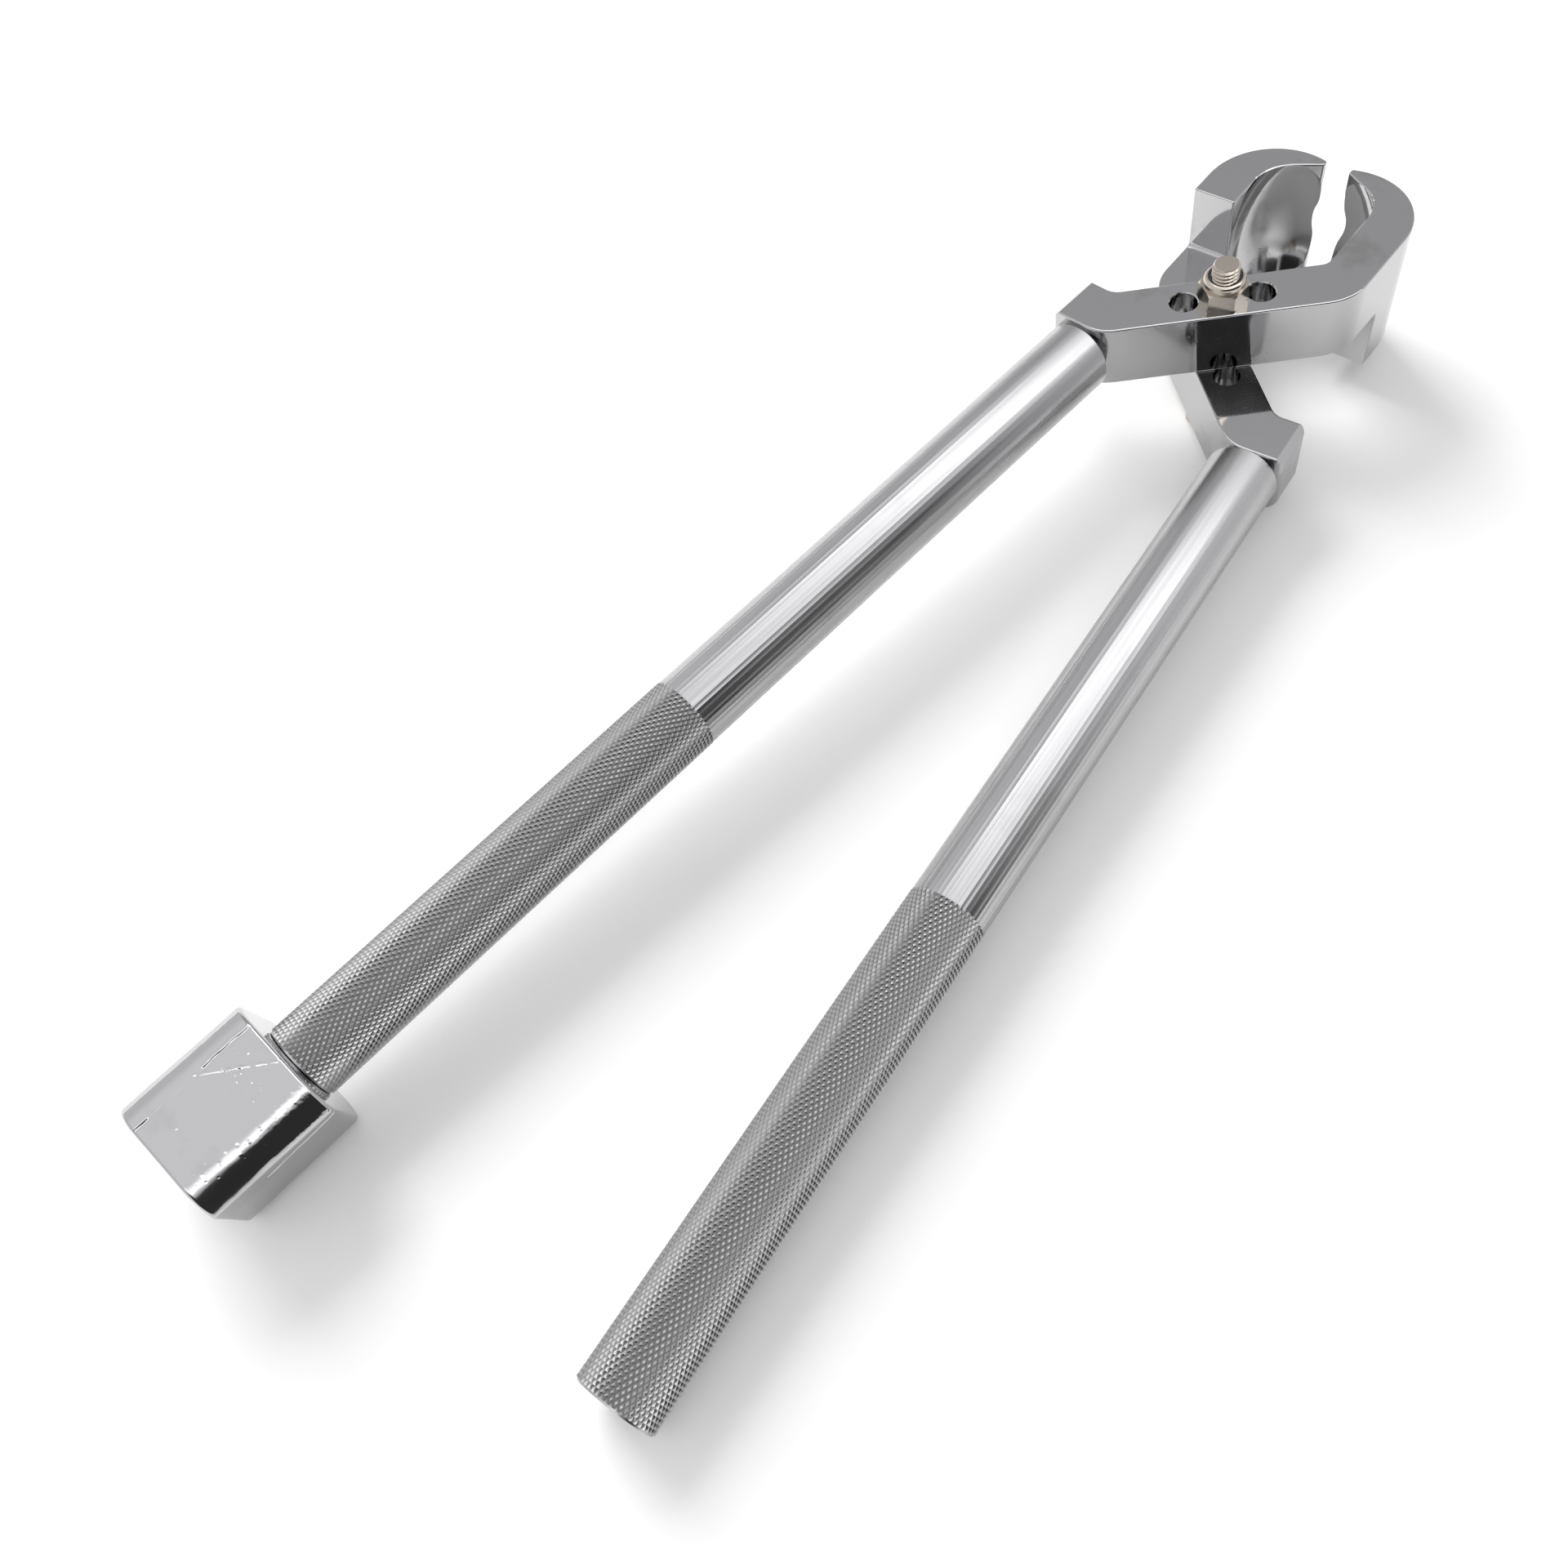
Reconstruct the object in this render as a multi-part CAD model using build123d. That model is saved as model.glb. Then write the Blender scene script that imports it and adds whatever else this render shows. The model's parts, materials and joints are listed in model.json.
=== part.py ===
from build123d import *
import os
from math import cos, sin, tan, radians, sqrt

# Two-handed lobster cracker: two chrome-plated jaws lapped over each other on one
# adjustable pivot bolt, each jaw carrying a knurled bar, and a hammer block on one bar.
#
# Frame: millimetres, +Z up along the pivot bolt, +Y from the pivot towards the claw
# tips, z = 0 on the flat underside of the bolt head. Both jaws are the same casting;
# the lower one is the upper one turned half a turn about the tool's long axis.
# The upper jaw's claw is on +X and its bar on -X.

# ---- jaw: bar through the pivot -------------------------------------------------
LAYER = 21.0             # thickness of one jaw where the two lap at the pivot
LAP_GAP = 0.2            # grease gap between the two lap faces
BAR_WIDTH = 16.5         # width of the flat bar through the pivot
BAR_SLOPE = 40.7         # angle of that bar from X, degrees
HOLE_PITCH = 11.25       # spacing of the three pivot holes along the bar
HOLE_COUNT = 3
HOLE_RIM = 0.3           # chamfer round each pivot hole

# ---- jaw: claw ------------------------------------------------------------------
CLAW_REACH = 68.2        # pivot to the front of the claws
CLAW_HALF_SPACE = 18.75  # centre line to the inner side wall of a claw
CLAW_WALL = 13.95        # thickness of the claw beside the space
CLAW_CROWN_R = 21.9      # radius of the claw's outer curve
ROOF_SLOPE = 27.0        # the inner front wall falls away from the tip at this angle, degrees
ROOF_BEND_R = 13.5       # bend from that wall to the side wall
TIP_GAP = 8.2            # opening between the two claw tips at rest
TIP_FLAT = 2.0           # width of the flat on each tip
TIP_EDGE_R = 0.8         # softened corners of the tip in plan
STEP_Y = 37.3            # forward of this the claw is as tall as both layers
GRIP_HOLLOW = 4.7        # depth of the belly round the inside of each claw
HEEL_R = 15.0            # outer bend from bar to claw
THROAT_R = 4.0           # inner bend from bar to claw
STEP_ROOT_R = 1.5        # fillet at the foot of the step wall

# ---- jaw: handle block ----------------------------------------------------------
HANDLE_SPLAY = 5.06      # angle of each handle from the tool's centre line, degrees
HANDLE_OFFSET = 26.44    # distance of the handle's axis from the pivot axis
HANDLE_SUNK = 0.35       # the bar's top lies this far below the jaw's outer flat face
BLOCK_FRONT = 16.3       # front face of the block, along the handle from the pivot
BLOCK_LENGTH = 16.1      # block length along the handle
BLOCK_CORNER_R = 2.0     # outer corners of the block in plan
BLOCK_BEVEL = 2.2        # bevel along the block's outer long edges
CROTCH_R = 12.0          # bend from the bar to the block's back face
NECK_R = 6.0             # bend from the bar to the block's front face
EDGE_R = 0.5             # softened edges of the casting

# ---- handle bars ----------------------------------------------------------------
HANDLE_D = 22.0          # smooth part of the bar
KNURL_RISE = 0.15        # height of the knurl crests over the smooth part
SMOOTH_LENGTH = 168.8    # smooth part, from the block to the knurl
KNURL_HAMMER_SIDE = 134.0
KNURL_PLAIN_SIDE = 142.0
FRONT_CHAMFER = 1.4      # chamfer of the bar at the block
BACK_CHAMFER = 0.5       # chamfer at the far end
SPIGOT_D = 14.0          # threaded end of a bar, M14
SPIGOT_LENGTH = 13.0     # how far it screws into the block
HAMMER_SPIGOT_LENGTH = 20.0
THREAD_CLEARANCE = 0.05  # radial gap drawn between a male thread and its tapped hole
TAP_RUNOUT = 0.6         # tapped hole deeper than the thread in it

# ---- hammer block ---------------------------------------------------------------
HAMMER_ACROSS = 36.5     # square section, across the flats
HAMMER_CORNER_R = 8.0
HAMMER_LENGTH = 36.0
HAMMER_TURN = -16.0      # the block stands turned about the bar, degrees
HAMMER_EDGE_R = 1.6      # softened edges of its two end faces

# ---- pivot bolt and lock nut (M8) -----------------------------------------------
BOLT_D = 8.0
BOLT_RUNNING = 0.08      # radial running clearance of the bolt in a pivot hole
THREAD_SHOWING = 4.1     # bolt end above the nut
BOLT_END_CHAMFER = 0.9
HEX_ACROSS = 13.0        # across the flats, bolt head and nut
HEAD_HEIGHT = 5.3
HEAD_CLEARANCE = 0.1     # free play under the bolt head
HEX_CHAMFER = 0.6
NUT_HEX_HEIGHT = 5.4
NUT_HEIGHT = 8.0
NUT_COLLAR_D = 12.2
NUT_COLLAR_EDGE_R = 1.2
NUT_TURN = 26.0          # how far round the nut has ended up, degrees
INSERT_D = 10.6          # nylon ring in the nut
INSERT_HEIGHT = 1.8
NUT_LIP = 0.5            # rolled lip that holds the ring in
NUT_LIP_D = 10.0

# ---- sizes that follow ----------------------------------------------------------
Z_BASE = HEAD_HEIGHT + HEAD_CLEARANCE
Z_LAP = Z_BASE + LAYER
Z_TOP = Z_BASE + 2 * LAYER
Z_TALL = Z_TOP - Z_BASE
BLOCK_WIDTH = HANDLE_D   # the block is as wide as its bar
KNURL_D = HANDLE_D + 2 * KNURL_RISE
Z_UPPER_HANDLE = Z_TOP - HANDLE_SUNK - HANDLE_D / 2
BOLT_UNDER_HEAD = HEAD_CLEARANCE + Z_TALL + NUT_HEIGHT + THREAD_SHOWING
PIVOT_HOLE_R = BOLT_D / 2 + BOLT_RUNNING
CUT = 1.0                # how far a cutting solid runs past the face it opens


def bar_line_point(x, side):
    """A point of the bar's upper (side=1) or lower (side=-1) edge at a given x."""
    slope = radians(BAR_SLOPE)
    return Vector(x, (side * BAR_WIDTH / 2 + x * sin(slope)) / cos(slope))


def handle_point(along, across):
    """A point in plan: along the upper jaw's handle from the pivot, and outward from its axis."""
    splay = radians(HANDLE_SPLAY)
    outward = Vector(-cos(splay), sin(splay))
    backward = Vector(-sin(splay), -cos(splay))
    return outward * (HANDLE_OFFSET + across) + backward * along


def cross(p, q, r, s):
    """Where the line through p and q meets the line through r and s, in plan."""
    a = q - p
    b = s - r
    t = ((r.X - p.X) * b.Y - (r.Y - p.Y) * b.X) / (a.X * b.Y - a.Y * b.X)
    return p + a * t


def round_corner(face, corner, radius):
    """Round the outline's corner nearest a point."""
    return fillet(face.vertices().sort_by_distance(corner)[0:1], radius)


def roof_bend():
    """Corner where the inner front wall would meet the side wall, and the centre of the bend there."""
    tip = claw_tip()
    corner = Vector(CLAW_HALF_SPACE, tip.Y - TIP_FLAT - (CLAW_HALF_SPACE - tip.X) * tan(radians(ROOF_SLOPE)))
    tangent = ROOF_BEND_R * tan(radians(90 - ROOF_SLOPE) / 2)
    return corner, Vector(CLAW_HALF_SPACE - ROOF_BEND_R, corner.Y - tangent)


def crown_centre():
    """Centre of the claw's outer curve."""
    return Vector(CLAW_HALF_SPACE + CLAW_WALL - CLAW_CROWN_R, CLAW_REACH - CLAW_CROWN_R)


def claw_tip():
    """Outer corner of the tip, where the crown meets the tip's flat."""
    crown = crown_centre()
    across = crown.X - TIP_GAP / 2
    return Vector(TIP_GAP / 2, crown.Y + sqrt(CLAW_CROWN_R ** 2 - across ** 2))


def jaw_outline():
    """The upper jaw seen from above: handle block, bar and claw as one face."""
    crown = crown_centre()
    outer_x = crown.X + CLAW_CROWN_R
    lower = (bar_line_point(0, -1), bar_line_point(1, -1))
    upper = (bar_line_point(0, 1), bar_line_point(1, 1))
    half = BLOCK_WIDTH / 2
    back = BLOCK_FRONT + BLOCK_LENGTH
    front_outer = handle_point(BLOCK_FRONT, half)
    back_outer = handle_point(back, half)
    heel = bar_line_point(outer_x, -1)
    throat = bar_line_point(CLAW_HALF_SPACE, 1)
    neck = cross(*upper, front_outer, handle_point(BLOCK_FRONT, -half))
    crotch = cross(*lower, back_outer, handle_point(back, -half))
    tip_outer = claw_tip()
    tip_inner = tip_outer - Vector(0, TIP_FLAT)
    roof_corner, _ = roof_bend()
    crown_start = Vector(outer_x, crown.Y)
    crown_mid = crown + (crown_start + tip_outer - crown * 2).normalized() * CLAW_CROWN_R
    path = Line(heel, crown_start)
    path += ThreePointArc(crown_start, crown_mid, tip_outer)
    path += Line(tip_outer, tip_inner)
    path += Line(tip_inner, roof_corner)
    path += Line(roof_corner, throat)
    path += Line(throat, neck)
    path += Line(neck, front_outer)
    path += Line(front_outer, back_outer)
    path += Line(back_outer, crotch)
    path += Line(crotch, heel)
    outline = make_face(path)
    for corner, radius in (
        (heel, HEEL_R),
        (throat, THROAT_R),
        (roof_corner, ROOF_BEND_R),
        (neck, NECK_R),
        (crotch, CROTCH_R),
        (front_outer, BLOCK_CORNER_R),
        (back_outer, BLOCK_CORNER_R),
        (tip_outer, TIP_EDGE_R),
        (tip_inner, TIP_EDGE_R),
    ):
        outline = round_corner(outline, corner, radius)
    return outline


def grip_belly():
    """Barrel that hollows the claw's bend: widest at mid-height, nothing at the rims."""
    rim = ROOF_BEND_R
    path = Line((0, Z_BASE), (rim, Z_BASE))
    path += ThreePointArc((rim, Z_BASE), (rim + GRIP_HOLLOW, Z_LAP), (rim, Z_TOP))
    path += Line((rim, Z_TOP), (0, Z_TOP))
    path += Line((0, Z_TOP), (0, Z_BASE))
    half_plan = Plane.XZ * make_face(path)
    _, centre = roof_bend()
    return Pos(centre.X, centre.Y, 0) * revolve(half_plan, Axis.Z)


def flat_rim(jaw, z):
    """Outer edges of the jaw's largest level face at height z."""
    level = [face for face in jaw.faces().filter_by(Axis.Z) if abs(face.center().Z - z) < LAP_GAP / 4]
    return max(level, key=lambda face: face.area).outer_wire().edges()


def upper_jaw():
    """Claw, bar and handle block of the upper jaw."""
    outline = jaw_outline()
    lap_face = Z_LAP + LAP_GAP / 2
    own_layer = Pos(0, 0, lap_face) * extrude(outline, Z_TOP - lap_face)
    ahead = Pos(0, STEP_Y + CLAW_REACH) * Rectangle(4 * CLAW_REACH, 2 * CLAW_REACH)
    claw = Pos(0, 0, Z_BASE) * extrude(outline & ahead, Z_TALL)
    jaw = own_layer + claw
    root = jaw.edges().filter_by(Axis.X).sort_by_distance(Vector(CLAW_HALF_SPACE, STEP_Y, lap_face))[0:1]
    jaw = fillet(root, STEP_ROOT_R)
    step_sides = [edge for edge in jaw.edges().filter_by(Axis.Z) if abs(edge.center().Y - STEP_Y) < LAP_GAP / 4]
    rims = flat_rim(jaw, Z_TOP) + flat_rim(jaw, Z_BASE) + flat_rim(jaw, lap_face) + step_sides
    jaw = fillet(rims, EDGE_R)
    jaw -= outer_bevel(Z_TOP, 1)
    jaw -= outer_bevel(lap_face, -1)
    jaw -= grip_belly()
    for index in range(HOLE_COUNT):
        along = (index - (HOLE_COUNT - 1) / 2) * HOLE_PITCH
        spot = Rot(0, 0, BAR_SLOPE) * Pos(along, 0, 0)
        jaw -= spot * Pos(0, 0, (lap_face + Z_TOP) / 2) * Cylinder(PIVOT_HOLE_R, LAYER + 2 * CUT)
    outer_rims = jaw.faces().sort_by(Axis.Z)[-1].edges()
    hole_rims = [edge for edge in outer_rims if edge.geom_type == GeomType.CIRCLE
                 and abs(edge.radius - PIVOT_HOLE_R) < BOLT_RUNNING]
    jaw = chamfer(hole_rims, HOLE_RIM)
    tap = Cylinder(SPIGOT_D / 2 + THREAD_CLEARANCE, SPIGOT_LENGTH + TAP_RUNOUT,
                   align=(Align.CENTER, Align.CENTER, Align.MIN))
    jaw -= along_handle(BLOCK_FRONT + BLOCK_LENGTH - SPIGOT_LENGTH - TAP_RUNOUT) * tap
    return jaw


def outer_bevel(z, side):
    """Wedge that takes off the block's outer long edge at height z, upper (side=1) or lower (side=-1)."""
    middle = handle_point(BLOCK_FRONT + BLOCK_LENGTH / 2, BLOCK_WIDTH / 2)
    shift = BLOCK_BEVEL * (sqrt(2) - 0.5)
    wedge = Rot(0, 45, 0) * Box(4 * BLOCK_BEVEL, BLOCK_LENGTH + 2 * CUT, 4 * BLOCK_BEVEL)
    return Pos(middle.X, middle.Y, z) * Rot(0, 0, 180 - HANDLE_SPLAY) * Pos(shift, 0, side * shift) * wedge


def along_handle(distance):
    """Placement on the upper handle's axis, its own +Z pointing back along the handle."""
    spot = handle_point(distance, 0)
    splay = radians(HANDLE_SPLAY)
    backward = Vector(-sin(splay), -cos(splay), 0)
    return Location(Plane(Vector(spot.X, spot.Y, Z_UPPER_HANDLE), x_dir=(0, 0, 1), z_dir=backward))


def turned(shape):
    """Half a turn about the tool's long axis: an upper piece becomes its lower twin."""
    return Pos(0, 0, Z_LAP) * Rot(0, 180, 0) * Pos(0, 0, -Z_LAP) * shape


def rod(diameter, length):
    """A round rod standing on its own origin."""
    return Cylinder(diameter / 2, length, align=(Align.CENTER, Align.CENTER, Align.MIN))


def handle_bar(knurl_length, hammer_spigot):
    """One bar on the upper handle's axis: front thread, smooth part, knurled grip, optional back thread."""
    smooth = rod(HANDLE_D, SMOOTH_LENGTH)
    smooth = chamfer(smooth.edges().sort_by(Axis.Z)[0], FRONT_CHAMFER)
    grip = rod(KNURL_D, knurl_length)
    grip = chamfer(grip.edges().sort_by(Axis.Z)[-1], BACK_CHAMFER)
    bar = smooth + Pos(0, 0, SMOOTH_LENGTH) * grip
    bar += Pos(0, 0, -SPIGOT_LENGTH) * rod(SPIGOT_D, SPIGOT_LENGTH)
    if hammer_spigot:
        bar += Pos(0, 0, SMOOTH_LENGTH + knurl_length) * rod(SPIGOT_D, HAMMER_SPIGOT_LENGTH)
    return along_handle(BLOCK_FRONT + BLOCK_LENGTH) * bar


def hammer_block():
    """Rounded square block screwed on the end of the upper handle's bar."""
    section = RectangleRounded(HAMMER_ACROSS, HAMMER_ACROSS, HAMMER_CORNER_R)
    block = extrude(section, HAMMER_LENGTH)
    rims = block.faces().sort_by(Axis.Z)[0].edges() + block.faces().sort_by(Axis.Z)[-1].edges()
    block = fillet(rims, HAMMER_EDGE_R)
    block -= rod(SPIGOT_D + 2 * THREAD_CLEARANCE, HAMMER_SPIGOT_LENGTH + TAP_RUNOUT)
    start = BLOCK_FRONT + BLOCK_LENGTH + SMOOTH_LENGTH + KNURL_HAMMER_SIDE
    return along_handle(start) * Rot(0, 0, HAMMER_TURN) * block


def hexagon(height):
    """Hexagon bar stock of the bolt size, its corners turned off at both ends."""
    prism = extrude(RegularPolygon(HEX_ACROSS / 2, 6, major_radius=False), height)
    corner_r = RegularPolygon(HEX_ACROSS / 2, 6, major_radius=False).radius
    turned_blank = chamfer(rod(2 * corner_r, height).edges().filter_by(GeomType.CIRCLE), HEX_CHAMFER)
    return prism & turned_blank


def pivot_bolt():
    """Hexagon-head bolt standing on its head, its threaded end above the nut."""
    shank = rod(BOLT_D, BOLT_UNDER_HEAD)
    shank = chamfer(shank.edges().sort_by(Axis.Z)[-1], BOLT_END_CHAMFER)
    return hexagon(HEAD_HEIGHT) + Pos(0, 0, HEAD_HEIGHT) * shank


def lock_nut():
    """Nylon-insert nut: hexagon, rounded collar, and a rolled lip over the ring's seat."""
    collar = rod(NUT_COLLAR_D, NUT_HEIGHT)
    collar = fillet(collar.edges().sort_by(Axis.Z)[-1], NUT_COLLAR_EDGE_R)
    nut = hexagon(NUT_HEX_HEIGHT) + collar
    nut -= rod(BOLT_D + 2 * THREAD_CLEARANCE, NUT_HEIGHT)
    seat = NUT_HEIGHT - NUT_LIP - INSERT_HEIGHT
    nut -= Pos(0, 0, seat) * rod(INSERT_D, INSERT_HEIGHT)
    nut -= Pos(0, 0, seat) * rod(NUT_LIP_D, NUT_HEIGHT)
    return Pos(0, 0, Z_TOP) * Rot(0, 0, NUT_TURN) * nut


def nut_insert():
    """Nylon ring held under the nut's lip and cut by the bolt's thread."""
    ring = rod(INSERT_D, INSERT_HEIGHT) - rod(BOLT_D, INSERT_HEIGHT)
    return Pos(0, 0, Z_TOP + NUT_HEIGHT - NUT_LIP - INSERT_HEIGHT) * ring


jaw = upper_jaw()
nodes = {
    "jaw_upper": jaw,
    "jaw_lower": turned(jaw),
    "handle_bar_hammer_side": handle_bar(KNURL_HAMMER_SIDE, True),
    "handle_bar_plain_side": turned(handle_bar(KNURL_PLAIN_SIDE, False)),
    "hammer_block": hammer_block(),
    "pivot_bolt": pivot_bolt(),
    "lock_nut": lock_nut(),
    "lock_nut_insert": nut_insert(),
}

os.makedirs("parts", exist_ok=True)
for name, shape in nodes.items():
    export_step(shape, f"parts/{name}.step")
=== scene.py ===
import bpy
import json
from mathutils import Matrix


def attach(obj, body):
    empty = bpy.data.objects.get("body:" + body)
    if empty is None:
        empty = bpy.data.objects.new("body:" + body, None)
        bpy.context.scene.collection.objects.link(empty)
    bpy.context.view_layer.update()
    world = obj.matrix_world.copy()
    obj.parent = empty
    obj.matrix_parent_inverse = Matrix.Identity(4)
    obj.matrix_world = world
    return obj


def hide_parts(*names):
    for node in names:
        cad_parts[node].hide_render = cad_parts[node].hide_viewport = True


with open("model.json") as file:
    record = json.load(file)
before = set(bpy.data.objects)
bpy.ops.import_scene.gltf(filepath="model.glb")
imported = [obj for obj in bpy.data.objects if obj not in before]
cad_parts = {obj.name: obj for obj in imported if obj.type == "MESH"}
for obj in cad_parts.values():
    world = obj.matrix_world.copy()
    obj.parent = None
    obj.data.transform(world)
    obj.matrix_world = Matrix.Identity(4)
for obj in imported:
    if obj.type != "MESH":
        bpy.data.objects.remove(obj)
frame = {"nodes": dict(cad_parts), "record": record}

"""Looks of a two-handed lobster cracker: chrome castings, knurled bars, a hammer block and one pivot bolt.

Everything is in metres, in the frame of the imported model: the origin is under the head of the
pivot bolt, +Z runs up the bolt and +Y runs from the pivot to the claw tips.
"""

import json
import logging
import math
from dataclasses import dataclass, field
from enum import Enum

import bpy
import numpy as np
from mathutils import Matrix, Vector, noise

LOG = logging.getLogger("lobster_cracker")
MM = 0.001
SLACK = 0.03 * MM  # corners nearer to each other than this count as one
MIX_A, MIX_B, MIX_RESULT = 6, 7, 2  # colour sockets of a mix node
GROOVE_SHADE = 0.5  # painted shade: how far the bottoms of grooves go towards the dark colour that stains also take
STAIN_AND_SHADE_TINT = (0.3, 0.27, 0.24)  # share of the plain colour left where a stain or the painted groove shade is darkest


class Slot(Enum):
    """Material slots of the record."""

    JAW = "jaw_chrome"
    BAR = "bar_chrome"
    HAMMER = "hammer_chrome"
    FASTENER = "fastener_plating"
    NYLON = "nylon"


class Skin(Enum):
    """How a surface was made, which sets the pattern on it."""

    CAST = "cast"
    ROUGH_CAST = "rough_cast"
    DRAWN = "drawn"
    MOULDED = "moulded"


# ---- shader trees ---------------------------------------------------------------


class Graph:
    """Adds nodes to one shader tree and joins them."""

    def __init__(self, tree: bpy.types.NodeTree) -> None:
        """Keeps the tree.

        Args:
            tree: the tree that gets the nodes.
        """
        self.tree = tree

    def feed(self, socket: bpy.types.NodeSocket, value: object) -> None:
        """Joins a socket to another one, or sets its constant.

        Args:
            socket: the input that gets the value.
            value: an output socket or a constant.
        """
        if isinstance(value, bpy.types.NodeSocket):
            self.tree.links.new(value, socket)
        else:
            socket.default_value = value

    def add(
        self, kind: str, feeds: dict[str | int, object] | None = None, **settings: object
    ) -> bpy.types.Node:
        """Adds one node.

        Args:
            kind: the node's type.
            feeds: values of its inputs by name or number.
            settings: values of its own properties.

        Returns:
            The new node.
        """
        node = self.tree.nodes.new(kind)
        for name, value in settings.items():
            setattr(node, name, value)
        for key, value in (feeds or {}).items():
            self.feed(node.inputs[key], value)
        return node

    def math(self, operation: str, a: object, b: object = 0.0, clamp: bool = False) -> bpy.types.NodeSocket:
        """Adds a math node.

        Args:
            operation: the node's operation.
            a: first value or socket.
            b: second value or socket.
            clamp: whether the result is held between 0 and 1.

        Returns:
            The result.
        """
        return self.add("ShaderNodeMath", {0: a, 1: b}, operation=operation, use_clamp=clamp).outputs[0]

    def ramp(self, value: object, low: float, high: float, start: float, end: float) -> bpy.types.NodeSocket:
        """Maps a value smoothly from low..high to start..end.

        Args:
            value: the value or socket that is mapped.
            low: where the ramp begins.
            high: where the ramp ends.
            start: result at low.
            end: result at high.

        Returns:
            The mapped value.
        """
        feeds = {"Value": value, "From Min": low, "From Max": high, "To Min": start, "To Max": end}
        return self.add("ShaderNodeMapRange", feeds, interpolation_type="SMOOTHSTEP").outputs["Result"]

    def noise(self, vector: object, scale: float, detail: float = 2.0) -> bpy.types.NodeSocket:
        """Adds a noise texture.

        Args:
            vector: coordinates of the texture.
            scale: cells per metre.
            detail: octaves.

        Returns:
            Its value, about 0.5 on average.
        """
        feeds = {"Vector": vector, "Scale": scale, "Detail": detail}
        return self.add("ShaderNodeTexNoise", feeds).outputs[0]

    def stretched(self, vector: object, scale: tuple[float, float, float]) -> bpy.types.NodeSocket:
        """Scales coordinates axis by axis.

        Args:
            vector: the coordinates.
            scale: factor of each axis.

        Returns:
            The scaled coordinates.
        """
        return self.add("ShaderNodeMapping", {"Vector": vector, "Scale": scale}).outputs[0]


class Effect:
    """A shader node group with named inputs and outputs, made once and used by several materials."""

    name = "effect"
    takes: dict[str, float] = {}
    gives: tuple[str, ...] = ()

    def tree(self) -> bpy.types.NodeTree:
        """Finds the group, and builds it the first time it is asked for.

        Returns:
            The group's own tree.
        """
        if self.name in bpy.data.node_groups:
            return bpy.data.node_groups[self.name]
        group = bpy.data.node_groups.new(self.name, "ShaderNodeTree")
        group.interface.new_socket("Vector", in_out="INPUT", socket_type="NodeSocketVector")
        for name, value in self.takes.items():
            taken = group.interface.new_socket(name, in_out="INPUT", socket_type="NodeSocketFloat")
            taken.default_value = value
        for name in self.gives:
            group.interface.new_socket(name, in_out="OUTPUT", socket_type="NodeSocketFloat")
        graph = Graph(group)
        results = self.wire(graph, graph.add("NodeGroupInput").outputs)
        out = graph.add("NodeGroupOutput")
        for name, value in results.items():
            graph.feed(out.inputs[name], value)
        return group

    def wire(self, graph: Graph, given: bpy.types.NodeOutputs) -> dict[str, bpy.types.NodeSocket]:
        """Builds the inside of the group.

        Args:
            graph: the group's own graph.
            given: the sockets of the group's input.

        Returns:
            The group's results by name.
        """
        raise NotImplementedError

    def use(self, graph: Graph, vector: object, **values: float) -> bpy.types.NodeOutputs:
        """Puts the group into a material.

        Args:
            graph: the material's graph.
            vector: the coordinates given to the group.
            values: its other inputs, with _ for a blank.

        Returns:
            The sockets the group gives.
        """
        node = graph.add("ShaderNodeGroup", node_tree=self.tree())
        graph.feed(node.inputs["Vector"], vector)
        for name, value in values.items():
            graph.feed(node.inputs[name.replace("_", " ")], value)
        return node.outputs


class PlatedCasting(Effect):
    """Slow ripples and scattered pits that plating leaves showing on a polished casting."""

    name = "plated_casting"
    takes = {"Ripple": 0.1, "Ripple Scale": 70.0, "Pits": 0.05, "Pit Scale": 420.0}
    gives = ("Height",)
    quick_scale: float = 640.0
    quick_share: float = 0.05
    patch_scale: float = 90.0
    patch_limit: float = 0.55
    pit_edge: tuple[float, float] = (0.06, 0.2)

    def wire(self, graph: Graph, given: bpy.types.NodeOutputs) -> dict[str, bpy.types.NodeSocket]:
        """Adds ripples of two sizes and takes the pits away.

        Args:
            graph: the group's own graph.
            given: the sockets of the group's input.

        Returns:
            Height in millimetres.
        """
        slow = graph.noise(given["Vector"], given["Ripple Scale"], 1.0)
        quick = graph.noise(given["Vector"], self.quick_scale, 2.0)
        ripple = graph.math("ADD", slow, graph.math("MULTIPLY", quick, self.quick_share))
        cells = graph.add("ShaderNodeTexVoronoi", {"Vector": given["Vector"], "Scale": given["Pit Scale"]})
        patches = graph.noise(given["Vector"], self.patch_scale, 0.0)
        chosen = graph.math("GREATER_THAN", patches, self.patch_limit)
        hollow = graph.ramp(cells.outputs["Distance"], *self.pit_edge, 1.0, 0.0)
        pit = graph.math("MULTIPLY", hollow, chosen)
        height = graph.math("MULTIPLY", ripple, given["Ripple"])
        return {"Height": graph.math("SUBTRACT", height, graph.math("MULTIPLY", pit, given["Pits"]))}


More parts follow.
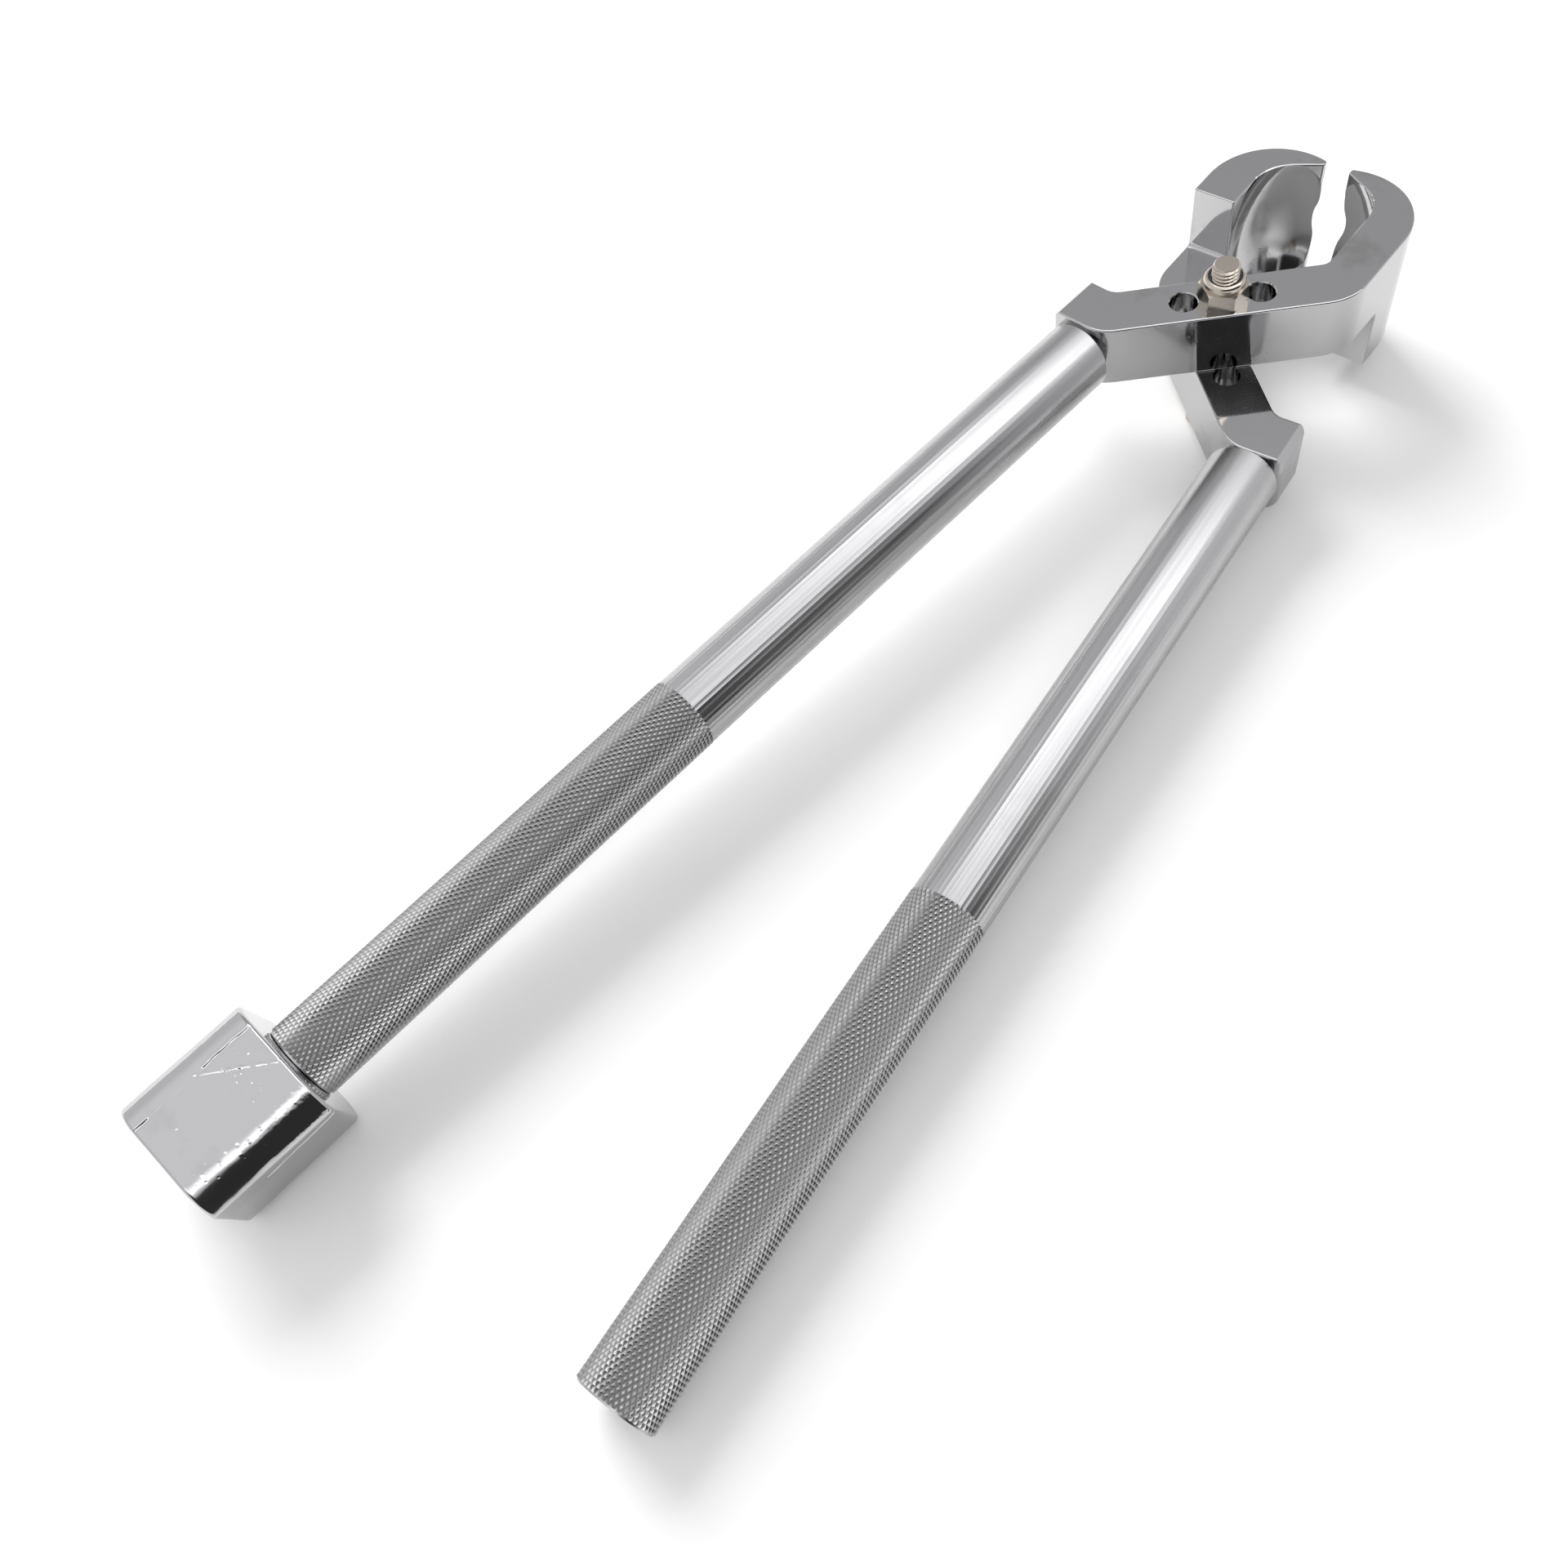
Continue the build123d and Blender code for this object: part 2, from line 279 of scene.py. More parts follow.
class HandMarks(Effect):
    """Smears and fine scuffs that make a plated surface duller in places."""

    name = "hand_marks"
    takes = {"Clean": 0.1, "Smeared": 0.2}
    gives = ("Roughness",)
    smear_scale: float = 48.0
    smear_edge: tuple[float, float] = (0.42, 0.68)
    smear_most: float = 0.8
    scuff_scales: tuple[float, float, float] = (900.0, 160.0, 300.0)
    scuff_edge: tuple[float, float] = (0.6, 0.75)
    scuff_most: float = 0.35

    def wire(self, graph: Graph, given: bpy.types.NodeOutputs) -> dict[str, bpy.types.NodeSocket]:
        """Blends the clean and the smeared roughness by two noises.

        Args:
            graph: the group's own graph.
            given: the sockets of the group's input.

        Returns:
            Roughness.
        """
        smears = graph.noise(given["Vector"], self.smear_scale, 4.0)
        broad = graph.ramp(smears, *self.smear_edge, 0.0, self.smear_most)
        scuffs = graph.noise(graph.stretched(given["Vector"], self.scuff_scales), 1.0, 2.0)
        fine = graph.ramp(scuffs, *self.scuff_edge, 0.0, self.scuff_most)
        share = graph.math("ADD", broad, fine, clamp=True)
        span = graph.math("SUBTRACT", given["Smeared"], given["Clean"])
        return {"Roughness": graph.math("ADD", given["Clean"], graph.math("MULTIPLY", share, span))}


class Tarnish(Effect):
    """Grey-brown stains with ragged edges, gathered in a few places."""

    name = "tarnish"
    takes = {"Spread": 0.76, "Depth": 0.5}
    gives = ("Shade",)
    place_scale: float = 34.0
    ragged_scale: float = 260.0
    ragged_share: float = 0.28
    edge_slope: float = 9.0

    def wire(self, graph: Graph, given: bpy.types.NodeOutputs) -> dict[str, bpy.types.NodeSocket]:
        """Cuts ragged patches out of a slow noise.

        Args:
            graph: the group's own graph.
            given: the sockets of the group's input.

        Returns:
            Share of the plating's own brightness that is lost.
        """
        place = graph.noise(given["Vector"], self.place_scale, 1.0)
        ragged = graph.noise(given["Vector"], self.ragged_scale, 5.0)
        both = graph.math("ADD", place, graph.math("MULTIPLY", ragged, self.ragged_share))
        rise = graph.math("SUBTRACT", both, given["Spread"])
        patch = graph.math("MULTIPLY", rise, self.edge_slope, clamp=True)
        return {"Shade": graph.math("MULTIPLY", patch, given["Depth"])}


class DrawnStreaks(Effect):
    """Lengthwise die lines of drawn bar; the first coordinate runs round it and the second along it."""

    name = "drawn_streaks"
    takes = {"Clean": 0.14, "Dull": 0.26, "Lines": 0.004}
    gives = ("Roughness", "Height")
    fine_scales: tuple[float, float, float] = (3600.0, 22.0, 1.0)
    wide_scales: tuple[float, float, float] = (420.0, 12.0, 1.0)
    wide_edge: tuple[float, float] = (0.3, 0.7)

    def wire(self, graph: Graph, given: bpy.types.NodeOutputs) -> dict[str, bpy.types.NodeSocket]:
        """Stretches noise along the bar.

        Args:
            graph: the group's own graph.
            given: the sockets of the group's input.

        Returns:
            Roughness, and height in millimetres.
        """
        fine = graph.noise(graph.stretched(given["Vector"], self.fine_scales), 1.0, 3.0)
        wide = graph.noise(graph.stretched(given["Vector"], self.wide_scales), 1.0, 2.0)
        span = graph.math("SUBTRACT", given["Dull"], given["Clean"])
        rough = graph.math("MULTIPLY", graph.ramp(wide, *self.wide_edge, 0.0, 1.0), span)
        height = graph.math("MULTIPLY", graph.math("ADD", fine, wide), given["Lines"])
        return {"Roughness": graph.math("ADD", given["Clean"], rough), "Height": height}


@dataclass(frozen=True)
class Finish:
    """One finish: its colour, how rough it is, and the marks on it.

    Attributes:
        slot: the record's slot it belongs to.
        skin: how the surface was made.
        color: plain colour.
        clean: roughness where it is clean.
        dull: roughness where it is smeared.
        metallic: 1 for metal.
        ripple: height of slow ripples, mm.
        pits: depth of pits, mm.
        tarnish: how dark its stains are.
    """

    slot: Slot
    skin: Skin
    color: tuple[float, float, float]
    clean: float
    dull: float
    metallic: float = 1.0
    ripple: float = 0.05
    pits: float = 0.0
    tarnish: float = 0.0

    def material(self) -> bpy.types.Material:
        """Builds the material of this finish, or finds it where it is already built.

        Returns:
            The material.
        """
        name = f"{self.slot.value}_{self.skin.value}"
        if name in bpy.data.materials:
            return bpy.data.materials[name]
        mat = bpy.data.materials.new(name)
        mat.use_nodes = True
        graph = Graph(mat.node_tree)
        shader = mat.node_tree.nodes["Principled BSDF"]
        shader.inputs["Metallic"].default_value = self.metallic
        coords = graph.add("ShaderNodeTexCoord")
        place = coords.outputs["Object"]
        height = None
        if self.skin in (Skin.CAST, Skin.ROUGH_CAST):
            cast = PlatedCasting().use(graph, place, Ripple=self.ripple, Pits=self.pits)
            height = cast["Height"]
        if self.skin is Skin.DRAWN:
            streaks = DrawnStreaks().use(graph, coords.outputs["UV"], Clean=self.clean, Dull=self.dull)
            height = streaks["Height"]
            graph.feed(shader.inputs["Roughness"], streaks["Roughness"])
        else:
            marks = HandMarks().use(graph, place, Clean=self.clean, Smeared=self.dull)
            graph.feed(shader.inputs["Roughness"], marks["Roughness"])
        self.colour(graph, shader, place)
        if height is not None:
            bump = graph.add("ShaderNodeBump", {"Height": height, "Strength": 1.0, "Distance": MM})
            graph.feed(shader.inputs["Normal"], bump.outputs["Normal"])
        return mat

    def colour(self, graph: Graph, shader: bpy.types.Node, place: bpy.types.NodeSocket) -> None:
        """Darkens the plating in stains and paints shade into the bottoms of grooves.

        Args:
            graph: the material's graph.
            shader: its principled shader.
            place: object coordinates.
        """
        stain = Tarnish().use(graph, place, Depth=self.tarnish)["Shade"]
        # painted shade: the points' groove value darkens the colour in groove bottoms, where shade falls
        painted_groove_shade = graph.add("ShaderNodeAttribute", attribute_name="painted_groove_shade").outputs["Fac"]
        # the darker of the real stains and the painted groove shade sets the mix
        share = graph.math("MAXIMUM", stain, graph.math("MULTIPLY", painted_groove_shade, GROOVE_SHADE))
        dark = tuple(c * f for c, f in zip(self.color, STAIN_AND_SHADE_TINT))
        feeds = {"Factor": share, MIX_A: (*self.color, 1.0), MIX_B: (*dark, 1.0)}
        mix = graph.add("ShaderNodeMix", feeds, data_type="RGBA")
        graph.feed(shader.inputs["Base Color"], mix.outputs[MIX_RESULT])


JAW_CHROME = Finish(
    Slot.JAW, Skin.CAST, (0.56, 0.56, 0.565), 0.07, 0.13, ripple=0.03, pits=0.01, tarnish=0.22
)
BAR_CHROME = Finish(Slot.BAR, Skin.DRAWN, (0.56, 0.56, 0.565), 0.25, 0.36, tarnish=0.1)
HAMMER_CHROME = Finish(
    Slot.HAMMER, Skin.ROUGH_CAST, (0.6, 0.6, 0.605), 0.07, 0.13, ripple=0.07, pits=0.02, tarnish=0.12
)
FASTENER_PLATE = Finish(
    Slot.FASTENER, Skin.CAST, (0.64, 0.58, 0.51), 0.17, 0.32, ripple=0.03, pits=0.01, tarnish=0.5
)
NYLON_BLACK = Finish(Slot.NYLON, Skin.MOULDED, (0.03, 0.03, 0.033), 0.4, 0.6, metallic=0.0)


# ---- meshes ---------------------------------------------------------------------


END_WINDOWS = tuple(mm * MM for mm in (40.0, 15.0, 5.0, 2.0, 0.5, 0.2, 0.2))  # ever less of a bar's end


@dataclass
class Axis:
    """A line along a round piece, with the heights and radii of the piece's own corners on it.

    Attributes:
        origin: a point of the line.
        along: its direction.
        side: a unit vector square to it.
        up: the third unit vector.
    """

    origin: Vector
    along: Vector
    side: Vector
    up: Vector

    @classmethod
    def of_node(cls, node: str, guess: Vector) -> "Axis":
        """Finds the axis of a round CAD node from the middles of its two ends.

        Args:
            node: the node's name.
            guess: rough direction of the axis.

        Returns:
            The axis, starting at the node's first end.
        """
        points = np.array([v.co for v in frame["nodes"][node].data.vertices])
        along = np.array(guess.normalized())
        for window in END_WINDOWS:
            side = np.cross(along, (0.0, 0.0, 1.0))
            side /= np.linalg.norm(side)
            up = np.cross(side, along)
            t = points @ along
            ends = []
            for edge in (t.min(), t.max()):
                ring = points[np.abs(t - edge) < window]
                middle = [(ring @ w).min() / 2 + (ring @ w).max() / 2 for w in (side, up)]
                ends.append(along * edge + side * middle[0] + up * middle[1])
            along = (ends[1] - ends[0]) / np.linalg.norm(ends[1] - ends[0])
        return cls(Vector(ends[0]), Vector(along), Vector(side), Vector(up))

    def profile(self, node: str) -> list[tuple[float, float]]:
        """Lists the node's corners as distance along the axis and distance from it.

        Args:
            node: the node's name.

        Returns:
            Pairs in metres, sorted along the axis, each once.
        """
        found = set()
        for vertex in frame["nodes"][node].data.vertices:
            offset = vertex.co - self.origin
            t = offset.dot(self.along)
            found.add((round(t, 5), round((offset - self.along * t).length, 5)))
        return sorted(found)

    def point(self, t: float, radius: float, angle: float) -> Vector:
        """Returns the point at a distance along the axis, a distance from it and an angle round it."""
        out = self.side * math.cos(angle) + self.up * math.sin(angle)
        return self.origin + self.along * t + out * radius


class Builder:
    """Collects points and faces of one mesh and turns them into a piece."""

    def __init__(self) -> None:
        """Starts an empty mesh."""
        self.points: list[Vector] = []
        self.faces: list[tuple[int, ...]] = []
        self.smooth: list[bool] = []
        # painted shade: how much each point's colour is darkened in groove bottoms
        self.painted_groove_shade: dict[int, float] = {}
        self.maps: list[tuple[float, float]] = []

    def dot(self, point: Vector, mapped: tuple[float, float] = (0.0, 0.0)) -> int:
        """Adds a point.

        Args:
            point: where it is.
            mapped: distance round and along the piece, in metres.

        Returns:
            Its number.
        """
        self.points.append(point)
        self.maps.append(mapped)
        return len(self.points) - 1

    def face(self, corners: tuple[int, ...], smooth: bool = True) -> None:
        """Adds a face.

        Args:
            corners: its points in order.
            smooth: whether it is shaded smooth.
        """
        self.faces.append(corners)
        self.smooth.append(smooth)

    def band(self, first: list[int], second: list[int], smooth: bool = True) -> None:
        """Joins two rings of equally many points with quads.

        Args:
            first: points of one ring.
            second: points of the next ring.
            smooth: whether the band is shaded smooth.
        """
        count = len(first)
        for i in range(count):
            j = (i + 1) % count
            self.face((first[i], first[j], second[j], second[i]), smooth)

    def cap(self, ring: list[int], centre: Vector, smooth: bool = True) -> None:
        """Closes a ring with triangles to a point.

        Args:
            ring: points of the ring.
            centre: the point.
            smooth: whether the cap is shaded smooth.
        """
        hub = self.dot(centre, self.maps[ring[0]])
        for i, corner in enumerate(ring):
            self.face((corner, ring[(i + 1) % len(ring)], hub), smooth)

    def piece(self, name: str, node: str, finish: Finish, crease: float = 32.0) -> bpy.types.Object:
        """Makes the object, lets it ride on the CAD node's body and hides that node.

        Args:
            name: the piece's name.
            node: the CAD node it stands for.
            finish: its finish.
            crease: edges sharper than this angle, in degrees, are shaded sharp.

        Returns:
            The piece.
        """
        mesh = bpy.data.meshes.new(name)
        mesh.from_pydata([tuple(p) for p in self.points], [], self.faces)
        mesh.polygons.foreach_set("use_smooth", self.smooth)
        layer = mesh.uv_layers.new(name="UVMap")
        corner_points = np.empty(len(mesh.loops), dtype=np.int32)
        mesh.loops.foreach_get("vertex_index", corner_points)
        layer.uv.foreach_set("vector", np.array(self.maps, dtype=np.float32)[corner_points].ravel())
        # stores the painted groove shade as a point attribute that the materials read
        depth = mesh.attributes.new("painted_groove_shade", "FLOAT", "POINT")
        values = np.zeros(len(self.points), dtype=np.float32)
        for index, value in self.painted_groove_shade.items():
            values[index] = value
        depth.data.foreach_set("value", values)
        mesh.update()
        mesh.validate()
        self.outward(mesh)
        mesh.set_sharp_from_angle(angle=math.radians(crease))
        mesh.materials.append(finish.material())
        obj = bpy.data.objects.new(name, mesh)
        bpy.context.scene.collection.objects.link(obj)
        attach(obj, body_holding(node))
        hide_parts(node)
        LOG.info("%s: %d faces", name, len(mesh.polygons))
        return obj

    @staticmethod
    def outward(mesh: bpy.types.Mesh) -> None:
        """Turns a closed mesh's faces outward.

        Args:
            mesh: the mesh, with all its faces turned one way.
        """
        volume = 0.0
        for poly in mesh.polygons:
            volume += poly.area * poly.normal.dot(poly.center - mesh.vertices[0].co)
        if volume < 0:
            mesh.flip_normals()


def body_holding(node: str) -> str:
    """Finds the body that a CAD node belongs to.

    Args:
        node: the node's name.

    Returns:
        The body's name.

    Raises:
        KeyError: if no body holds the node.
    """
    for name, nodes in frame["record"]["behaviour"]["bodies"].items():
        if node in nodes:
            return name
    raise KeyError(node)


@dataclass
class KnurledBar:
    """One handle bar: a screwed end, a smooth half and a half with a diamond knurl.

    Attributes:
        node: the CAD node it stands for.
        cells_round: knurl grooves of one hand round the bar.
        cell_length: length of one diamond.
        groove_depth: depth of the grooves below the crests.
        crest: flat left on each diamond, as a share of it.
        run_in: length over which the smooth surface steps to the knurl.
        core: corners nearer to the axis than this belong to the flat ends.
        make: the mesh that is being built.
    """

    node: str
    cells_round: int = 48
    cell_length: float = 2.52 * MM
    groove_depth: float = 0.42 * MM
    crest: float = 0.3
    run_in: float = 0.25 * MM
    core: float = 2.0 * MM
    make: Builder = field(default_factory=Builder)

    def build(self) -> bpy.types.Object:
        """Builds the bar's mesh over the CAD bar's own outline.

        Returns:
            The finished piece.
        """
        axis = Axis.of_node(self.node, Vector((0, -1, 0)))
        outline = axis.profile(self.node)
        crest_radius = max(r for _, r in outline)
        smooth_radius = max(r for _, r in outline if r < crest_radius - SLACK)
        knurled = [t for t, r in outline if r > crest_radius - SLACK]
        begin, end = min(knurled), max(knurled)
        before = [(t, r) for t, r in outline if t < begin - SLACK]
        after = [(t, r) for t, r in outline if t > end + SLACK]
        rows = self.knurl(axis, begin, end, crest_radius)
        self.lathe(axis, before, begin - self.run_in, smooth_radius, rows[0], front=True)
        self.lathe(axis, after, end, crest_radius - self.groove_depth, rows[1], front=False)
        return self.make.piece(f"{self.node}_knurled", self.node, BAR_CHROME, crease=28.0)

    def spot(self, axis: Axis, t: float, radius: float, step: float) -> int:
        """Adds one point of the bar.

        Args:
            axis: the bar's axis.
            t: distance along it.
            radius: distance from it.
            step: place round the bar, in half cells.

        Returns:
            The point's number.
        """
        angle = math.pi * step / self.cells_round - math.pi / 2
        return self.make.dot(axis.point(t, radius, angle), (angle * radius, t))

    def knurl(self, axis: Axis, begin: float, end: float, radius: float) -> tuple[list[int], list[int]]:
        """Builds the diamonds.

        Args:
            axis: the bar's axis.
            begin: where the knurl begins along the axis.
            end: where it ends.
            radius: radius over the crests.

        Returns:
            The rings of points at its two ends.
        """
        rows = 2 * round((end - begin) / self.cell_length)
        half = (end - begin) / rows
        columns = 2 * self.cells_round
        low = radius - self.groove_depth
        bottom = {}
        for k in range(rows + 1):
            for c in range(k % 2, columns, 2):
                bottom[c, k] = self.spot(axis, begin + k * half, low, c)
                # painted shade at the bottom of each knurl groove
                self.make.painted_groove_shade[bottom[c, k]] = 1.0
        edges: tuple[list[int], list[int]] = ([], [])
        flat = self.crest
        for k in range(rows + 1):
            for c in range(1 - k % 2, columns, 2):
                t = begin + k * half
                left = self.spot(axis, t, radius, c - flat)
                right = self.spot(axis, t, radius, c + flat)
                corner_left = bottom[(c - 1) % columns, k]
                corner_right = bottom[(c + 1) % columns, k]
                tops = []
                if k > 0:
                    near = self.spot(axis, t - flat * half, radius, c)
                    self.make.face((corner_left, bottom[c, k - 1], near, left), False)
                    self.make.face((bottom[c, k - 1], corner_right, right, near), False)
                    tops.append(near)
                tops.append(right)
                if k < rows:
                    far = self.spot(axis, t + flat * half, radius, c)
                    self.make.face((corner_right, bottom[c, k + 1], far, right), False)
                    self.make.face((bottom[c, k + 1], corner_left, left, far), False)
                    tops.append(far)
                tops.append(left)
                self.make.face(tuple(tops), False)
                for edge, row in zip(edges, (0, rows)):
                    if k == row:
                        edge.extend((corner_left, left, right))
        return edges

    def lathe(
        self,
        axis: Axis,
        corners: list[tuple[float, float]],
        shoulder: float,
        shoulder_radius: float,
        edge: list[int],
        front: bool,
    ) -> None:
        """Turns the plain part on one side of the knurl and closes its end.

        Args:
            axis: the bar's axis.
            corners: distances along and from the axis of the CAD bar's corners on this side.
            shoulder: where the plain part meets the knurl.
            shoulder_radius: its radius there.
            edge: the knurl's ring of points on this side.
            front: whether the part lies before the knurl.
        """
        steps = []
        for i in range(self.cells_round):
            base = 2 * i + 1
            steps.extend((base - 1, base - self.crest, base + self.crest))
        rings = self.order(corners, front)
        rings.insert(0, (shoulder, shoulder_radius))
        last = edge
        for t, radius in rings:
            ring = [self.spot(axis, t, radius, s) for s in steps]
            shift = self.matching(last, ring)
            ring = ring[shift:] + ring[:shift]
            self.make.band(last, ring)
            last = ring
        self.make.cap(last, axis.origin + axis.along * rings[-1][0])

    def matching(self, last: list[int], ring: list[int]) -> int:
        """Returns how far a ring must be turned for its points to stand opposite the last ring's."""
        start = self.make.points[last[0]]
        return min(range(len(ring)), key=lambda i: (self.make.points[ring[i]] - start).length)

    def order(self, corners: list[tuple[float, float]], front: bool) -> list[tuple[float, float]]:
        """Puts the corners in order from the knurl outward, steps at one place inward or outward in turn.

        Args:
            corners: distances along and from the axis, sorted.
            front: whether the part lies before the knurl.

        Returns:
            The corners as a line that starts at the knurl.
        """
        kept = []
        for t, r in corners:
            known = any(abs(t - a) < SLACK and abs(r - b) < SLACK for a, b in kept)
            if r > self.core and not known:
                kept.append((t, r))
        outward = -1 if front else 1
        kept.sort(key=lambda corner: (round(corner[0] / MM, 1) * outward, -corner[1]))
        return kept


@dataclass(frozen=True)
class Crease:
    """A wandering line that stands out of the hammer's skin or is cut into it, all in mm.

    Attributes:
        place: where it starts, across the side.
        slope: how far it moves across for each mm along the block.
        height: how far it stands out; less than 0 is cut in.
        width: distance from its middle where it has sunk to a third.
        stray: how far it wanders.
        pace: how quickly it wanders.
        seed: picks the pattern it wanders in.
    """

    place: float
    slope: float
    height: float
    width: float
    stray: float
    pace: float
    seed: tuple[float, float]

    def relief(self, across: float, along: float) -> float:
        """Tells how high the crease is at a place.

        Args:
            across: distance across the side.
            along: distance along the block.

        Returns:
            Its height there.
        """
        wander = self.stray * noise.noise(Vector((along * self.pace, *self.seed)))
        off = across - self.place - self.slope * along - wander
        return self.height * math.exp(-((off / self.width) ** 2))


SEAM_RISE = Crease(7.4, 0.02, 0.15, 0.4, stray=0.5, pace=0.22, seed=(5.0, 0.0))
SEAM_DIP = Crease(8.1, 0.02, -0.2, 0.4, stray=0.5, pace=0.22, seed=(5.0, 0.0))
SLANT = Crease(20.4, -0.72, 0.13, 0.35, stray=0.35, pace=0.7, seed=(1.0, 8.0))
SIDE_CUT = Crease(8.0, 0.09, -0.4, 0.3, stray=0.5, pace=0.35, seed=(9.0, 2.0))
SWELLS = ((0.09, 0.12, 0.09), (0.02, 0.5, 0.35))  # height in mm, waves per mm across and along
GRAIN, GRAIN_PACE, GRAIN_END = 0.02, 1.4, 20.0  # rough skin that dies out along the top, mm


@dataclass
class HammerBlock:
    """The hammer: a rounded square casting with ripples, creases, blisters and pits in its skin.

    Attributes:
        node: the CAD node it stands for.
        columns: points round the block.
        side_rows: rows along the block.
        corner: radius of its long corners.
        crown: radius of the broad part of the corner between its top and its right side.
        crown_edge: radius of that corner's tight part.
        crown_turn: angle that the tight part turns through.
        edge: radius of its end edges.
        skin: how far the skin lies inside the CAD block.
        hole: radius of its screwed hole.
        hole_rim: how much wider the hole is at its mouth.
        column_step: distance between two columns in the surface map.
        blister_count: blisters and pits on the top.
        seam_faint: where the seam along the top is faint, mm from the first end.
        seam_share: how much of the seam is left there.
        slant_end: where the slanting crease ends, mm from the first end.
        cut_end: where the cut in the right side ends, mm from the first end.
        cut_band: part of the right side that can be cut, mm below the top.
        axis: the line of the bar that it is screwed on.
        flat: the direction that its top looks in.
        cross: the direction that its side looks in.
        half: half its width inside the skin.
        section: its outline, as outline() traces it.
        blisters: its blisters and pits, as scatter() places them.
    """

    node: str = "hammer_block"
    columns: int = 460
    side_rows: int = 170
    corner: float = 8.0 * MM
    crown: float = 13.0 * MM
    crown_edge: float = 2.0 * MM
    crown_turn: float = math.radians(40)
    edge: float = 1.1 * MM
    skin: float = 0.2 * MM
    hole: float = 7.05 * MM
    hole_rim: float = 0.3 * MM
    column_step: float = 0.3 * MM
    blister_count: int = 150
    seam_faint: tuple[float, float] = (15.0, 31.0)
    seam_share: float = 0.35
    slant_end: float = 17.5
    cut_end: float = 22.0
    cut_band: tuple[float, float] = (4.0, 14.0)
    axis: Axis = field(init=False)
    flat: Vector = field(init=False)
    cross: Vector = field(init=False)
    half: float = field(init=False)
    section: np.ndarray = field(init=False)
    blisters: list[tuple[float, float, float, float]] = field(init=False)

    def build(self) -> bpy.types.Object:
        """Builds the block from rows round the bar's axis, from the bottom of its hole to its far face.

        Returns:
            The finished piece.
        """
        self.axis = Axis.of_node("handle_bar_hammer_side", Vector((0, -1, 0)))
        start, end, half, bottom = self.measure()
        self.half = half - self.skin
        self.section = self.outline()
        self.blisters = self.scatter()
        make = Builder()
        rows = self.rows(start, end, bottom)
        last = None
        for row in rows:
            t, square = row[:2]
            ring = []
            for i in range(self.columns):
                point, outward = self.place(i, row)
                if square == 1.0:
                    point = point + outward * self.relief(i, t - start, min(t - start, end - t))
                ring.append(make.dot(point, (i * self.column_step, t)))
            if last is None:
                make.cap(ring, self.axis.origin + self.axis.along * t)
            else:
                make.band(last, ring)
            last = ring
        make.cap(last, self.axis.origin + self.axis.along * rows[-1][0])
        return make.piece("hammer_block_cast", self.node, HAMMER_CHROME, crease=50.0)

    def measure(self) -> tuple[float, float, float, float]:
        """Reads the block's ends, half width, turn and hole's bottom from the CAD node.

        Returns:
            Where it starts and ends along the axis, its half width, and where its hole ends.
        """
        near_hole = self.hole + 0.45 * MM
        off_face = 1.0 * MM
        square_to_axis = 0.01
        large = 0.5
        mesh = frame["nodes"][self.node].data
        along = self.axis.along
        t = [(v.co - self.axis.origin).dot(along) for v in mesh.vertices]
        sides = [p for p in mesh.polygons if abs(p.normal.dot(along)) < square_to_axis]
        widest = max(p.area for p in sides)
        flat = max((p for p in sides if p.area > large * widest), key=lambda p: p.normal.z).normal.copy()
        self.flat = (flat - along * flat.dot(along)).normalized()
        self.cross = along.cross(self.flat)
        half = max((v.co - self.axis.origin).dot(self.flat) for v in mesh.vertices)
        start, end = min(t), max(t)
        depths = []
        for vertex, place in zip(mesh.vertices, t):
            out = vertex.co - self.axis.origin
            if (out - along * out.dot(along)).length < near_hole and place < end - off_face:
                depths.append(place)
        return start, end, half, max(depths)

    def rows(
        self, start: float, end: float, bottom: float
    ) -> list[tuple[float, float, float, float, float]]:
        """Lists the rows of points.

        Args:
            start: where the block begins along the axis.
            end: where it ends.
            bottom: where its hole ends.

        Returns:
            For each row: distance along the axis, share of the square section, inset of the
            section, its scale, and radius of the hole for rows that are round.
        """
        face_rows, edge_rows, end_rows = 12, 8, 14
        mouth, end_middle = 0.5 * MM, 0.05
        face = start + self.skin
        rim = self.hole + self.hole_rim
        rows = [(bottom, 0.0, 0.0, 1.0, self.hole), (start + mouth, 0.0, 0.0, 1.0, self.hole)]
        rows += [(face, i / face_rows, self.edge, 1.0, rim) for i in range(face_rows + 1)]
        quarter = [math.pi / 2 * i / edge_rows for i in range(edge_rows + 1)]
        for turn in quarter[1:]:
            along, inset = self.edge * (1 - math.cos(turn)), self.edge * (1 - math.sin(turn))
            rows.append((face + along, 1.0, inset, 1.0, 0.0))
        low = face + self.edge
        high = end - self.skin - self.edge
        for i in range(1, self.side_rows):
            rows.append((low + (high - low) * i / self.side_rows, 1.0, 0.0, 1.0, 0.0))
        for turn in quarter:
            along, inset = self.edge * math.sin(turn), self.edge * (1 - math.cos(turn))
            rows.append((high + along, 1.0, inset, 1.0, 0.0))
        for i in range(1, end_rows + 1):
            rows.append((end - self.skin, 1.0, self.edge, 1 - (1 - end_middle) * i / end_rows, 0.0))
        return rows

    def bend(self, radii: tuple[tuple[float, float], ...]) -> list[tuple[float, float, float, float]]:
        """Traces one corner of the section from the side it leaves to the side it joins.

        Args:
            radii: arcs of the corner as radius and the angle turned, adding up to a right angle.

        Returns:
            Points and outward directions, for the side that looks along the first axis.
        """
        arc_steps = 24
        turned = 0.0
        x, y = 0.0, 0.0
        trace = [(x, y, 1.0, 0.0)]
        for radius, angle in radii:
            step = angle / arc_steps
            for _ in range(arc_steps):
                middle = turned + step / 2
                chord = 2 * radius * math.sin(step / 2)
                x -= chord * math.sin(middle)
                y += chord * math.cos(middle)
                turned += step
                trace.append((x, y, math.cos(turned), math.sin(turned)))
        lift = self.half - y
        return [(self.half + x, lift + dy, nx, ny) for x, dy, nx, ny in trace]

